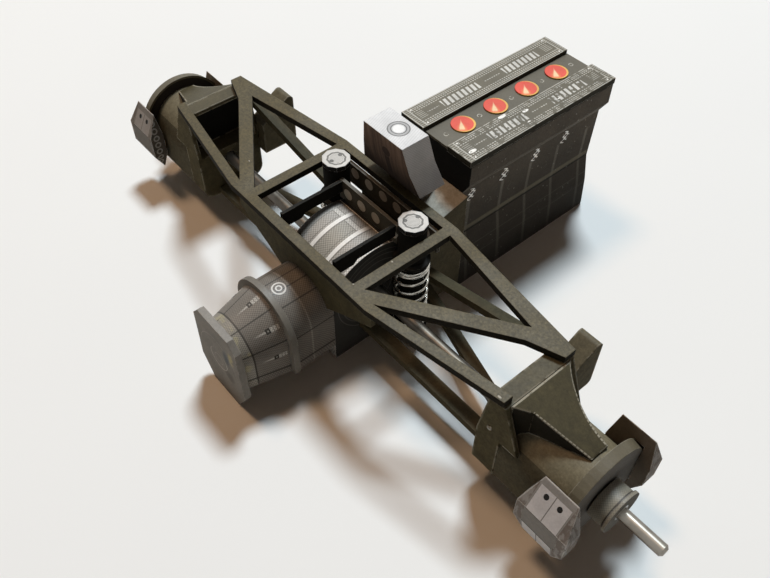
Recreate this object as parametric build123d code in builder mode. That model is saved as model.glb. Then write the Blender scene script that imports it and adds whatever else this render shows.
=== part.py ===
from build123d import *
import math
import os

os.makedirs("parts", exist_ok=True)

# Card and steel scale model of a racing car's rear end, 1:24.
# +X is the car's right, +Y is forward, +Z is up, z = 0 is the table top.

# ---------------- card, glue line and running fit, mm ----------------
CARD = 0.5
SEAT = 0.05
PIN_CLEAR = 0.06
PAST = 1.0

# ---------------- top frame: half widths in X, stations in Y ----------------
FRAME_TOP = 16.5
FRAME_T = 0.8
REAR_EDGE = -7.15
REAR_IN = -5.95
REAR_KNEE_X = 11.25
REAR_TIP_X = 26.8
REAR_TIP_Y = -4.45
REAR_BAR_W = 1.1
FRONT_IN = 5.85
FRONT_EDGE = 6.95
FRONT_KNEE_X = 9.1
TIP_X = 27.0
TIP_Y = 4.6
TIP_W = 1.4
DIAGONAL_X = 23.3
DIAGONAL_Y = 1.85
CROSS_IN = 8.05
CROSS_OUT = 9.3
WINDOW_TIP_X = 22.7
WINDOW_TIP_Y = 3.4
WINDOW_REAR_Y = -5.5
WINDOW_FRONT_Y = 5.7

# ---------------- engine ----------------
ENG_Y0 = 12.2
ENG_Y1 = 35.2
FOOT_X = 5.2
FOOT_Z = 0.5
SUMP_X = 4.9
SUMP_Z = 4.2
WAIST_X = 4.25
WAIST_Z = 7.8
WAIST_TOP_X = 4.4
WAIST_TOP_Z = 14.9
HEAD_X = 5.4
HEAD_Z = 16.6
HEAD_TOP = 19.35
COVER_T = 0.75
COVER_OVER = 0.3
COVER_IN = 1.9
COVER_OUT = 5.5
STRIP_T = 0.25
PLUG_Y0 = 16.1
PLUG_PITCH = 5.05
PLUG_COUNT = 4
PLUG_R = 1.4
PLUG_T = 0.15

# ---------------- bell housing and the flared box behind the head ----------------
BELL_X = 5.3
BELL_REAR_Z = 13.4
BELL_FRONT_Z = 15.0
BELL_BREAK = 1.0
BOX_TOP = 24.15
BOX_TOP_X = 2.95
BOX_TOP_Y = 6.25
BOX_D = 3.5
BOX_BELLY_Z = 21.0
BOX_BELLY_X = 3.6
BOX_BELLY_Y = 6.75
BOX_HEM = 18.0
BOX_HEM_X = 4.5
BOX_HEM_Y = 7.55
NECK_X = 1.8
NECK_TOP_Y = 6.6
NECK_LOW_Y = 7.9
NECK_D = 2.6

# ---------------- final drive casing and gearbox ----------------
CASE_X = 4.2
CASE_Y0 = -5.75
CASE_Y1 = 6.0
CASE_TOP = 14.1
CASE_SHOULDER = 11.0
BARREL_Y = -11.0
BARREL_R = 4.3
BARREL_Z = 7.6
BARREL_FOOT = 2.5
RING_T = 0.7
RING_R = 5.05
RING_FOOT = 3.3
TAIL_Y = -16.85
TAIL_R = 3.45
TAIL_Z = 6.85
TAIL_ROOT = 3.1
TAIL_FOOT = 3.6
PLATE_T = 0.8
PLATE_X = 4.1
PLATE_FOOT_X = 2.4
PLATE_FOOT_Z = 3.0
PLATE_SHOULDER_X = 3.8
PLATE_SHOULDER_Z = 10.3
PLATE_HEAD_X = 2.7
PLATE_TOP = 11.6

# ---------------- web, walls and straps ----------------
WEB_T = 0.6
WEB_LOW_X = 3.6
WEB_LOW_Z = 9.0
WEB_MID_X = 6.2
WEB_MID_Z = 10.6
WEB_END_Z = 13.2
WALL_T = 0.4
WALL_REAR_Y = 2.5
WALL_REAR_TOP = 16.3
WALL_FRONT_Y = 5.4
WALL_FRONT_Z = 12.9
WALL_FRONT_X = 7.9
STRAP_X = 4.4
STRAP_LOW = 14.3
STRAP_STEP_Y = -2.6
STRAP_STEP = 0.5

# ---------------- dampers ----------------
DAMPER_X = 6.3
DAMPER_Y = 3.3
DAMPER_R = 1.5
DAMPER_TOP = 17.05
DAMPER_MID = 12.2
DAMPER_ROD_R = 1.1
CAP_R = 1.6
CAP_T = 0.6
CAP_SIDES = 10
FOOT_R = 2.1
FOOT_PLATE_T = 0.8
FOOT_PLATE_Z = 1.4
FOOT_W = 2.4
WIRE_R = 0.17
COIL_R = 1.85
COIL_TURNS = 10
COIL_SIDES = 10
COIL_CLOSED = 0.5
COLLAR_T = 0.35

# ---------------- links and driveshaft ----------------
LINK_T = 1.2
LINK_H = 1.0
LINK_IN_Y = 6.5
LINK_IN_Z = 7.0
LINK_OUT_X = 25.9
LINK_OUT_Y = 5.15
LINK_OUT_Z = 13.6
ARM_Z = 3.2
ARM_T = 0.9
ARM_REAR_Y = -2.3
ARM_W = 1.6
ARM_TIP_Y = 1.5
ARM_FRONT_Y = 6.2
ARM_FRONT_W = 1.3
ARM_CROTCH_X = 21.0
SHAFT_R = 0.7
SHAFT_IN = 1.2

# ---------------- upright, fin, axle housing and duct ----------------
UP_IN = 24.3
UP_W = 2.8
UP_LEAN = 0.85
UP_Y0 = -4.35
UP_Y1 = 4.45
UP_BOT = 3.0
UP_ROUND = 1.5
SHELF_Z = 9.6
GUSSET_W = 2.2
GUSSET_FOOT = 0.4
AXLE_Z = 8.0
HOUSE_R = 4.3
FIN_Y0 = -3.8
FIN_KINK_X = 1.5
FIN_KINK_Y = 1.4
FIN_SHORT = 0.7
FIN_TIP_Z = 12.5
FIN_TIP_Y0 = -0.6
FIN_TIP_Y1 = 1.6
FIN_SAG = 0.9
DUCT_X_LEFT = 23.0
DUCT_X_RIGHT = 24.6
DUCT_W = 2.5
DUCT_D = 4.8
DUCT_FOOT = 6.9
DUCT_REAR_TOP = 11.15
DUCT_FRONT_TOP = 14.2
DUCT_ROUND = 0.6

# ---------------- disc, calipers, hub and stub axle ----------------
DISC_X = 35.0
DISC_T = 1.1
DISC_R = 5.7
DISC_RIM = 5.5
CAL_HALF = 2.6
CAL_HEAD_HALF = 1.9
CAL_FOOT_HALF = 1.5
CAL_TOP = 11.7
CAL_FOOT = 3.1
CAL_BREAK_UP = 8.9
CAL_BREAK_LOW = 5.9
CAL_EDGE_Y = 5.1
CAL_OUT_Y = 6.55
CAL_DEPTH = 1.8
RAISED_IN = 0.4
RAISED_WIDER = 0.3
RAISED_BY = 0.5
RAISED_FOOT = 1.0
HEAD_LIFT = 0.9
NOSE_GAP = 0.2
NOSE_R = 2.15
NOSE_L = 2.1
LIP_R = 2.35
LIP_T = 0.35
JOURNAL_R = 0.9
JOURNAL_X = 26.0
PIN_R = 0.65
PIN_L_RIGHT = 4.8
PIN_L_LEFT = 2.6
PIN_BREAK = 0.25

# ---------------- sizes that follow from those above ----------------
FRAME_BOT = FRAME_TOP - FRAME_T
UP_TOP = FRAME_BOT - SEAT
UP_WALL = UP_IN + UP_W
UP_TOP_X = UP_IN + UP_LEAN
GUSSET_X = UP_WALL + GUSSET_W
FIN_Y1 = UP_Y1 - CARD - SEAT
SHAFT_BORE = SHAFT_R + PIN_CLEAR
JOURNAL_BORE = JOURNAL_R + PIN_CLEAR
FIN_TIP_X = DISC_X - FIN_SHORT
NOSE_X = DISC_X + DISC_T + NOSE_GAP
NOSE_END = NOSE_X + NOSE_L


def keep(builder, node):
    """Name one finished piece and write it out."""
    builder.part.label = node
    export_step(builder.part, f"parts/{node}.step")


def both_sides(points):
    """Close a half outline given for +X by its mirror image."""
    return points + [(-x, y) for x, y in reversed(points)]


def arch(half, foot, spring, radius):
    """Draw straight sides under a round top, closed along the foot."""
    Line((-half, foot), (half, foot))
    Line((half, foot), (half, spring))
    ThreePointArc((half, spring), (0, spring + radius), (-half, spring))
    Line((-half, spring), (-half, foot))


def crown_z(y):
    """Height of the arched crown of the final drive casing at station y."""
    half = (CASE_Y1 - CASE_Y0) / 2
    rise = CASE_TOP - CASE_SHOULDER
    radius = (half**2 + rise**2) / (2 * rise)
    return CASE_TOP - radius + math.sqrt(radius**2 - (y - (CASE_Y0 + CASE_Y1) / 2) ** 2)


def shoulder_z(y):
    """Height of the sloping shoulder behind the head at station y."""
    return BELL_REAR_Z + (y - CASE_Y1) * (BELL_FRONT_Z - BELL_REAR_Z) / (ENG_Y0 - CASE_Y1)


# ---------------- top frame: one flat piece of card with three windows ----------------
half_frame = [
    (REAR_KNEE_X, REAR_EDGE),
    (REAR_TIP_X, REAR_TIP_Y),
    (REAR_TIP_X, REAR_TIP_Y + REAR_BAR_W),
    (REAR_KNEE_X, REAR_EDGE + REAR_BAR_W),
    (DIAGONAL_X, DIAGONAL_Y),
    (TIP_X, TIP_Y - TIP_W),
    (TIP_X, TIP_Y),
    (FRONT_KNEE_X, FRONT_EDGE),
]
with BuildPart() as top_frame:
    with BuildSketch(Plane.XY.offset(FRAME_BOT)):
        with BuildLine():
            Polyline(both_sides(half_frame), close=True)
        make_face()
        with Locations((0, (REAR_IN + FRONT_IN) / 2)):
            Rectangle(2 * CROSS_IN, FRONT_IN - REAR_IN, mode=Mode.SUBTRACT)
        for s in (-1, 1):
            with BuildLine(mode=Mode.PRIVATE) as window:
                Polyline(
                    (s * CROSS_OUT, WINDOW_FRONT_Y),
                    (s * WINDOW_TIP_X, WINDOW_TIP_Y),
                    (s * CROSS_OUT, WINDOW_REAR_Y),
                    close=True,
                )
            make_face(window.edges(), mode=Mode.SUBTRACT)
    extrude(amount=FRAME_T)
keep(top_frame, "top_frame")

# ---------------- engine block with its waist ----------------
flank = [
    (FOOT_X, 0.0),
    (FOOT_X, FOOT_Z),
    (SUMP_X, SUMP_Z),
    (WAIST_X, WAIST_Z),
    (WAIST_TOP_X, WAIST_TOP_Z),
    (HEAD_X, HEAD_Z),
    (HEAD_X, HEAD_TOP),
]
with BuildPart() as engine_block:
    with BuildSketch(Plane.XZ.offset(-ENG_Y0)):
        with BuildLine():
            Polyline(both_sides(flank), close=True)
        make_face()
    extrude(amount=-(ENG_Y1 - ENG_Y0))
keep(engine_block, "engine_block")

for s, side in ((-1, "left"), (1, "right")):
    with BuildPart() as cam_cover:
        with BuildSketch(Plane.XY.offset(HEAD_TOP)):
            with Locations((s * (COVER_IN + COVER_OUT) / 2, (ENG_Y0 + ENG_Y1 - COVER_OVER) / 2)):
                Rectangle(COVER_OUT - COVER_IN, ENG_Y1 - ENG_Y0 + COVER_OVER)
        extrude(amount=COVER_T)
    keep(cam_cover, f"cam_cover_{side}")

with BuildPart() as plug_strip:
    with BuildSketch(Plane.XY.offset(HEAD_TOP)):
        with Locations((0, (ENG_Y0 + ENG_Y1) / 2)):
            Rectangle(2 * COVER_IN - 2 * SEAT, ENG_Y1 - ENG_Y0)
    extrude(amount=STRIP_T)
keep(plug_strip, "plug_strip")

with BuildPart() as plug_discs:
    with BuildSketch(Plane.XY.offset(HEAD_TOP + STRIP_T)):
        with Locations([(0, PLUG_Y0 + i * PLUG_PITCH) for i in range(PLUG_COUNT)]):
            RegularPolygon(PLUG_R, 24)
    extrude(amount=PLUG_T)
keep(plug_discs, "plug_discs")

# ---------------- bell housing: sloping shoulder, side corners folded in at the foot ----------------
with BuildPart() as bell_housing:
    with BuildSketch(Plane.YZ.offset(-BELL_X)):
        with BuildLine():
            Polyline(
                (CASE_Y1, 0.0),
                (ENG_Y0, 0.0),
                (ENG_Y0, shoulder_z(ENG_Y0)),
                (CASE_Y1, shoulder_z(CASE_Y1)),
                close=True,
            )
        make_face()
    extrude(amount=2 * BELL_X)
    foot_edges = bell_housing.edges().filter_by(Axis.Y).sort_by(Axis.Z)[:2]
    chamfer(foot_edges, length=BELL_BREAK)
keep(bell_housing, "bell_housing")

# ---------------- flared box on its neck ----------------
with BuildPart() as rear_box:
    for z, half_x, mid_y in (
        (BOX_TOP, BOX_TOP_X, BOX_TOP_Y),
        (BOX_BELLY_Z, BOX_BELLY_X, BOX_BELLY_Y),
        (BOX_HEM, BOX_HEM_X, BOX_HEM_Y),
    ):
        with BuildSketch(Plane.XY.offset(z)):
            with Locations((0, mid_y)):
                Rectangle(2 * half_x, BOX_D)
    loft(ruled=True)
    with BuildSketch(Plane.YZ.offset(-NECK_X)):
        with BuildLine():
            Polyline(
                (NECK_LOW_Y, shoulder_z(NECK_LOW_Y)),
                (NECK_LOW_Y + NECK_D, shoulder_z(NECK_LOW_Y + NECK_D)),
                (NECK_TOP_Y + NECK_D, BOX_HEM),
                (NECK_TOP_Y, BOX_HEM),
                close=True,
            )
        make_face()
    extrude(amount=2 * NECK_X)
keep(rear_box, "rear_box")

# ---------------- final drive casing: arched crown, blind bores for the shafts ----------------
with BuildPart() as casing:
    with BuildSketch(Plane.YZ.offset(-CASE_X)):
        with BuildLine():
            Line((CASE_Y0, 0.0), (CASE_Y1, 0.0))
            Line((CASE_Y1, 0.0), (CASE_Y1, CASE_SHOULDER))
            ThreePointArc(
                (CASE_Y1, CASE_SHOULDER),
                ((CASE_Y0 + CASE_Y1) / 2, CASE_TOP),
                (CASE_Y0, CASE_SHOULDER),
            )
            Line((CASE_Y0, CASE_SHOULDER), (CASE_Y0, 0.0))
        make_face()
    extrude(amount=2 * CASE_X)
    for s in (-1, 1):
        with BuildSketch(Plane.YZ.offset(s * CASE_X)):
            with Locations((0, AXLE_Z)):
                Circle(SHAFT_BORE)
        extrude(amount=-s * (SHAFT_IN + 4 * SEAT), mode=Mode.SUBTRACT)
keep(casing, "casing")

# ---------------- gearbox: barrel, flange ring, tapering tail and end plate ----------------
with BuildPart() as gearbox_barrel:
    with BuildSketch(Plane.XZ.offset(-CASE_Y0)):
        with BuildLine():
            arch(BARREL_R, BARREL_FOOT, BARREL_Z, BARREL_R)
        make_face()
    extrude(amount=CASE_Y0 - BARREL_Y)
keep(gearbox_barrel, "gearbox_barrel")

with BuildPart() as flange_ring:
    with BuildSketch(Plane.XZ.offset(-BARREL_Y)):
        with BuildLine():
            arch(RING_R, RING_FOOT, BARREL_Z, RING_R)
        make_face()
    extrude(amount=RING_T)
keep(flange_ring, "flange_ring")

with BuildPart() as gearbox_tail:
    with BuildSketch(Plane.XZ.offset(RING_T - BARREL_Y)):
        with BuildLine():
            arch(BARREL_R, TAIL_ROOT, BARREL_Z, BARREL_R)
        make_face()
    with BuildSketch(Plane.XZ.offset(-TAIL_Y)):
        with BuildLine():
            arch(TAIL_R, TAIL_FOOT, TAIL_Z, TAIL_R)
        make_face()
    loft(ruled=True)
keep(gearbox_tail, "gearbox_tail")

plate_half = [
    (PLATE_FOOT_X, 0.0),
    (PLATE_X, PLATE_FOOT_Z),
    (PLATE_SHOULDER_X, PLATE_SHOULDER_Z),
    (PLATE_HEAD_X, PLATE_TOP),
]
with BuildPart() as end_plate:
    with BuildSketch(Plane.XZ.offset(-TAIL_Y)):
        with BuildLine():
            Polyline(both_sides(plate_half), close=True)
        make_face()
    extrude(amount=PLATE_T)
keep(end_plate, "end_plate")

# ---------------- web plate under the rear beam, cut out round the barrel ----------------
web_half = [
    (WEB_LOW_X, WEB_LOW_Z),
    (WEB_MID_X, WEB_MID_Z),
    (REAR_KNEE_X, WEB_END_Z),
    (REAR_KNEE_X, FRAME_BOT),
]
with BuildPart() as web_plate:
    with BuildSketch(Plane.XZ.offset(SEAT - CASE_Y0)):
        with BuildLine():
            Polyline(both_sides(web_half), close=True)
        make_face()
        with Locations((0, BARREL_Z)):
            Circle(BARREL_R + SEAT, mode=Mode.SUBTRACT)
    extrude(amount=WEB_T)
keep(web_plate, "web_plate")

# ---------------- cross walls between the dampers and under the front beam ----------------
for node, y, half_w, z0, z1 in (
    ("wall_rear", WALL_REAR_Y, DAMPER_X - DAMPER_R - SEAT, crown_z(WALL_REAR_Y), WALL_REAR_TOP),
    ("wall_front", WALL_FRONT_Y, WALL_FRONT_X, WALL_FRONT_Z, FRAME_BOT),
):
    with BuildPart() as wall:
        with BuildSketch(Plane.XZ.offset(-y)):
            with Locations((0, (z0 + z1) / 2)):
                Rectangle(2 * half_w, z1 - z0)
        extrude(amount=-WALL_T)
    keep(wall, node)


def coil_points(x, y, z0, z1):
    """Corners of a wound wire: closed first and last turn, even pitch between."""
    steps = COIL_TURNS * COIL_SIDES
    span = z1 - z0 - 2 * COIL_CLOSED
    corners = []
    for i in range(steps + 1):
        turn = i / COIL_SIDES
        angle = 2 * math.pi * turn
        if turn < 1:
            z = z0 + turn * COIL_CLOSED
        elif turn > COIL_TURNS - 1:
            z = z1 - (COIL_TURNS - turn) * COIL_CLOSED
        else:
            z = z0 + COIL_CLOSED + (turn - 1) * span / (COIL_TURNS - 2)
        corners.append((x + COIL_R * math.cos(angle), y + COIL_R * math.sin(angle), z))
    return corners


# ---------------- pieces made for both sides ----------------
for s, side in ((-1, "left"), (1, "right")):
    # black strap from the rear beam to the rear wall, stepped along its lower edge
    with BuildPart() as strap:
        with BuildSketch(Plane.YZ.offset(s * STRAP_X - WALL_T / 2)):
            with BuildLine():
                Polyline(
                    (CASE_Y0, UP_TOP),
                    (CASE_Y0, STRAP_LOW),
                    (STRAP_STEP_Y - STRAP_STEP, STRAP_LOW),
                    (STRAP_STEP_Y, STRAP_LOW + STRAP_STEP),
                    (WALL_REAR_Y - SEAT, STRAP_LOW + STRAP_STEP),
                    (WALL_REAR_Y - SEAT, WALL_REAR_TOP),
                    (REAR_IN + CARD - SEAT, WALL_REAR_TOP),
                    (REAR_IN + CARD - SEAT, UP_TOP),
                    close=True,
                )
            make_face()
        extrude(amount=WALL_T)
    keep(strap, f"strap_{side}")

    # coil-over damper: stout body and collar above, slim rod inside the spring, round foot on the casing
    with BuildPart() as damper:
        with BuildSketch(Plane.XY.offset(FOOT_PLATE_Z)):
            with Locations((s * DAMPER_X, DAMPER_Y)):
                Circle(FOOT_R)
            with Locations((s * (CASE_X + SEAT + DAMPER_X) / 2, DAMPER_Y)):
                Rectangle(DAMPER_X - CASE_X - SEAT, FOOT_W)
        extrude(amount=FOOT_PLATE_T)
        with BuildSketch(Plane.XY.offset(FOOT_PLATE_Z + FOOT_PLATE_T)):
            with Locations((s * DAMPER_X, DAMPER_Y)):
                Circle(DAMPER_ROD_R)
        extrude(amount=DAMPER_MID - FOOT_PLATE_Z - FOOT_PLATE_T)
        with BuildSketch(Plane.XY.offset(DAMPER_MID)):
            with Locations((s * DAMPER_X, DAMPER_Y)):
                Circle(COIL_R + WIRE_R)
        extrude(amount=COLLAR_T)
        with BuildSketch(Plane.XY.offset(DAMPER_MID)):
            with Locations((s * DAMPER_X, DAMPER_Y)):
                Circle(DAMPER_R)
        extrude(amount=DAMPER_TOP - DAMPER_MID)
    keep(damper, f"damper_{side}")

    with BuildPart() as damper_cap:
        with BuildSketch(Plane.XY.offset(DAMPER_TOP + SEAT)):
            with Locations((s * DAMPER_X, DAMPER_Y)):
                RegularPolygon(CAP_R, CAP_SIDES)
        extrude(amount=CAP_T)
    keep(damper_cap, f"damper_cap_{side}")

    spring_foot = FOOT_PLATE_Z + FOOT_PLATE_T + WIRE_R + SEAT
    with BuildPart() as spring:
        with BuildLine() as wire_path:
            Polyline(*coil_points(s * DAMPER_X, DAMPER_Y, spring_foot, DAMPER_MID - WIRE_R - SEAT))
        start = wire_path.wire()
        with BuildSketch(Plane(origin=start @ 0, z_dir=start % 0)):
            RegularPolygon(WIRE_R, 6)
        sweep(transition=Transition.RIGHT)
    keep(spring, f"spring_{side}")

    # upper link: a flat bar from the bell housing's flank up to the upright's front panel
    link_in_x = BELL_X + 2 * SEAT
    link_run = math.hypot(LINK_OUT_X - link_in_x, LINK_OUT_Y - LINK_IN_Y)
    link_side = Plane(
        origin=(s * link_in_x, LINK_IN_Y, 0),
        x_dir=(s * (LINK_OUT_X - link_in_x), LINK_OUT_Y - LINK_IN_Y, 0),
        z_dir=(LINK_OUT_Y - LINK_IN_Y, -s * (LINK_OUT_X - link_in_x), 0),
    )
    with BuildPart() as upper_link:
        with BuildSketch(link_side):
            with BuildLine():
                Polyline(
                    (0, LINK_IN_Z - LINK_H / 2),
                    (link_run, LINK_OUT_Z - LINK_H / 2),
                    (link_run, LINK_OUT_Z + LINK_H / 2),
                    (0, LINK_IN_Z + LINK_H / 2),
                    close=True,
                )
            make_face()
        extrude(amount=LINK_T / 2, both=True)
    keep(upper_link, f"upper_link_{side}")

    # lower wishbone: rear arm from the casing, front arm from the bell housing
    arm_end = UP_IN - SEAT
    with BuildPart() as lower_wishbone:
        with BuildSketch(Plane.XY.offset(ARM_Z)):
            with BuildLine():
                Polyline(
                    (s * (CASE_X + SEAT), ARM_REAR_Y),
                    (s * arm_end, ARM_REAR_Y),
                    (s * arm_end, ARM_TIP_Y),
                    (s * (arm_end - ARM_FRONT_W), ARM_TIP_Y + ARM_T),
                    (s * (BELL_X + SEAT), ARM_FRONT_Y + ARM_FRONT_W),
                    (s * (BELL_X + SEAT), ARM_FRONT_Y),
                    (s * ARM_CROTCH_X, ARM_TIP_Y),
                    (s * (ARM_CROTCH_X + ARM_W), ARM_REAR_Y + ARM_W),
                    (s * (CASE_X + SEAT), ARM_REAR_Y + ARM_W),
                    close=True,
                )
            make_face()
        extrude(amount=ARM_T)
    keep(lower_wishbone, f"lower_wishbone_{side}")

    # upright: folded card box, open towards the middle above its shelf
    with BuildPart() as upright:
        with BuildSketch(Plane.YZ.offset(s * UP_IN)) as block_face:
            with Locations(((UP_Y0 + UP_Y1) / 2, (UP_BOT + SHELF_Z) / 2)):
                Rectangle(UP_Y1 - UP_Y0, SHELF_Z - UP_BOT)
            fillet(block_face.vertices().sort_by(Axis.Y)[:2], radius=UP_ROUND)
        extrude(amount=s * (UP_WALL - UP_IN))
        for y, grow in ((UP_Y0, -CARD), (UP_Y1, CARD)):
            with BuildSketch(Plane.XZ.offset(-y)):
                with BuildLine():
                    Polyline(
                        (s * UP_IN, SHELF_Z),
                        (s * UP_WALL, SHELF_Z),
                        (s * UP_WALL, SHELF_Z + GUSSET_FOOT),
                        (s * GUSSET_X, SHELF_Z + CARD),
                        (s * UP_WALL, UP_TOP),
                        (s * UP_TOP_X, UP_TOP),
                        close=True,
                    )
                make_face()
            extrude(amount=grow)
        with BuildSketch(Plane.XZ.offset(-UP_Y0)):
            with BuildLine():
                Polyline(
                    (s * (UP_WALL - CARD), SHELF_Z),
                    (s * UP_WALL, SHELF_Z),
                    (s * UP_WALL, UP_TOP),
                    (s * UP_TOP_X, UP_TOP),
                    (s * UP_TOP_X, UP_TOP - CARD),
                    (s * (UP_WALL - CARD), UP_TOP - CARD),
                    close=True,
                )
            make_face()
        extrude(amount=-(UP_Y1 - UP_Y0))
        for bore, x0, x1 in (
            (SHAFT_BORE, UP_IN - PAST, JOURNAL_X - NOSE_GAP),
            (JOURNAL_BORE, JOURNAL_X - NOSE_GAP, UP_WALL + PAST),
        ):
            with BuildSketch(Plane.YZ.offset(s * x0)):
                with Locations((0, AXLE_Z)):
                    Circle(bore)
            extrude(amount=s * (x1 - x0), mode=Mode.SUBTRACT)
    keep(upright, f"upright_{side}")

    # axle housing: round-topped tunnel from the upright to the disc
    house_x0 = UP_WALL + SEAT
    with BuildPart() as axle_housing:
        with BuildSketch(Plane.YZ.offset(s * house_x0)) as tunnel:
            with BuildLine():
                arch(HOUSE_R, UP_BOT, AXLE_Z, HOUSE_R)
            make_face()
            fillet(tunnel.vertices().sort_by(Axis.Y)[:2], radius=UP_ROUND)
            with Locations((0, AXLE_Z)):
                Circle(JOURNAL_BORE, mode=Mode.SUBTRACT)
        extrude(amount=s * (DISC_X - SEAT - house_x0))
    keep(axle_housing, f"axle_housing_{side}")

    # fin: wide at the upright's ridge, narrow at the disc, hollowed along its front edge
    with BuildPart() as fin:
        with BuildSketch(Plane.XZ):
            with BuildLine():
                Polyline(
                    (s * house_x0, AXLE_Z + HOUSE_R / 2),
                    (s * house_x0, UP_TOP),
                    (s * FIN_TIP_X, FIN_TIP_Z),
                    (s * FIN_TIP_X, AXLE_Z + HOUSE_R / 2),
                    close=True,
                )
            make_face()
        extrude(amount=HOUSE_R + PAST, both=True)
        with BuildSketch(Plane.XY.offset(AXLE_Z)):
            with BuildLine():
                Line((s * house_x0, FIN_Y1), (s * house_x0, FIN_Y0))
                Line((s * house_x0, FIN_Y0), (s * (house_x0 + FIN_KINK_X), FIN_Y0 + FIN_KINK_Y))
                Line((s * (house_x0 + FIN_KINK_X), FIN_Y0 + FIN_KINK_Y), (s * FIN_TIP_X, FIN_TIP_Y0))
                Line((s * FIN_TIP_X, FIN_TIP_Y0), (s * FIN_TIP_X, FIN_TIP_Y1))
                ThreePointArc(
                    (s * FIN_TIP_X, FIN_TIP_Y1),
                    (s * (house_x0 + FIN_TIP_X) / 2, (FIN_Y1 + FIN_TIP_Y1) / 2 - FIN_SAG),
                    (s * house_x0, FIN_Y1),
                )
            make_face()
        extrude(amount=UP_TOP, mode=Mode.INTERSECT)
        with BuildSketch(Plane.YZ.offset(s * (house_x0 - PAST))):
            with Locations((0, AXLE_Z)):
                Circle(HOUSE_R + SEAT)
        extrude(amount=s * (DISC_X - house_x0 + PAST), mode=Mode.SUBTRACT)
    keep(fin, f"fin_{side}")

    # front duct, flaring towards its rounded mouth, glued by hand a little further in on the left
    duct_x = DUCT_X_LEFT if s < 0 else DUCT_X_RIGHT
    with BuildPart() as duct:
        with BuildSketch(Plane.YZ.offset(s * duct_x)) as duct_face:
            with BuildLine():
                Polyline(
                    (UP_Y1 + SEAT, DUCT_FOOT),
                    (UP_Y1 + SEAT + DUCT_D, DUCT_FOOT),
                    (UP_Y1 + SEAT + DUCT_D, DUCT_FRONT_TOP),
                    (UP_Y1 + SEAT, DUCT_REAR_TOP),
                    close=True,
                )
            make_face()
            fillet(duct_face.vertices().sort_by(Axis.X)[-2:], radius=DUCT_ROUND)
        extrude(amount=s * DUCT_W)
    keep(duct, f"duct_{side}")

    # brake disc with its rim drawn in towards the outer face
    with BuildPart() as disc:
        with BuildSketch(Plane.YZ.offset(s * DISC_X)):
            with Locations((0, AXLE_Z)):
                RegularPolygon(DISC_R, 48)
        with BuildSketch(Plane.YZ.offset(s * (DISC_X + DISC_T))):
            with Locations((0, AXLE_Z)):
                RegularPolygon(DISC_RIM, 48)
        loft(ruled=True)
        with BuildSketch(Plane.YZ.offset(s * (DISC_X - PAST))):
            with Locations((0, AXLE_Z)):
                Circle(JOURNAL_BORE)
        extrude(amount=s * (DISC_T + 2 * PAST), mode=Mode.SUBTRACT)
    keep(disc, f"disc_{side}")

    # folded calipers: crescent from the side, eight-cornered from behind, slotted for the disc;
    # the right rear one is wider and sits higher round the disc, the right front one has a taller head
    for t, end in ((-1, "rear"), (1, "front")):
        raised = s > 0 and t < 0
        lift, foot_lift = (RAISED_BY, RAISED_FOOT) if raised else (0.0, 0.0)
        head = CAL_TOP + (HEAD_LIFT if s > 0 and t > 0 else lift)
        half = CAL_HALF + (RAISED_WIDER if raised else 0.0)
        foot_half = CAL_FOOT_HALF + half - CAL_HALF
        mid_x = DISC_X - (RAISED_IN if raised else 0.0)
        with BuildPart() as caliper:
            with BuildSketch(Plane.YZ.offset(s * (mid_x - half))):
                with BuildLine():
                    Polyline(
                        (t * (CAL_EDGE_Y - lift), head),
                        (t * CAL_OUT_Y, CAL_BREAK_UP),
                        (t * CAL_OUT_Y, CAL_BREAK_LOW + lift / 2),
                        (t * (CAL_EDGE_Y + foot_lift), CAL_FOOT + foot_lift),
                        (t * (CAL_OUT_Y - CAL_DEPTH), CAL_BREAK_LOW + lift),
                        (t * (CAL_OUT_Y - CAL_DEPTH), CAL_BREAK_UP),
                        close=True,
                    )
                make_face()
            extrude(amount=s * 2 * half)
            with BuildSketch(Plane.XZ):
                with BuildLine():
                    Polyline(
                        (s * mid_x - foot_half, CAL_FOOT + foot_lift),
                        (s * mid_x - half, CAL_BREAK_LOW + lift / 2),
                        (s * mid_x - half, CAL_BREAK_UP),
                        (s * mid_x - CAL_HEAD_HALF, head),
                        (s * mid_x + CAL_HEAD_HALF, head),
                        (s * mid_x + half, CAL_BREAK_UP),
                        (s * mid_x + half, CAL_BREAK_LOW + lift / 2),
                        (s * mid_x + foot_half, CAL_FOOT + foot_lift),
                        close=True,
                    )
                make_face()
            extrude(amount=2 * CAL_OUT_Y, both=True, mode=Mode.INTERSECT)
            with BuildSketch(Plane.YZ.offset(s * (DISC_X - SEAT))):
                with Locations((0, AXLE_Z)):
                    Circle(DISC_R + SEAT)
            extrude(amount=s * (DISC_T + 2 * SEAT), mode=Mode.SUBTRACT)
            with BuildSketch(Plane.YZ.offset(s * (mid_x - half - PAST))):
                with BuildLine():
                    arch(HOUSE_R + SEAT, 0.0, AXLE_Z, HOUSE_R + SEAT)
                make_face()
            extrude(amount=s * (DISC_X - mid_x + half + PAST), mode=Mode.SUBTRACT)
        keep(caliper, f"caliper_{end}_{side}")

    # turning parts: driveshaft, stub axle and the hub nose pressed on it
    with BuildPart() as driveshaft:
        with BuildSketch(Plane.YZ.offset(s * (CASE_X - SHAFT_IN))):
            with Locations((0, AXLE_Z)):
                Circle(SHAFT_R)
        extrude(amount=s * (JOURNAL_X - CASE_X + SHAFT_IN))
    keep(driveshaft, f"driveshaft_{side}")

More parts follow.
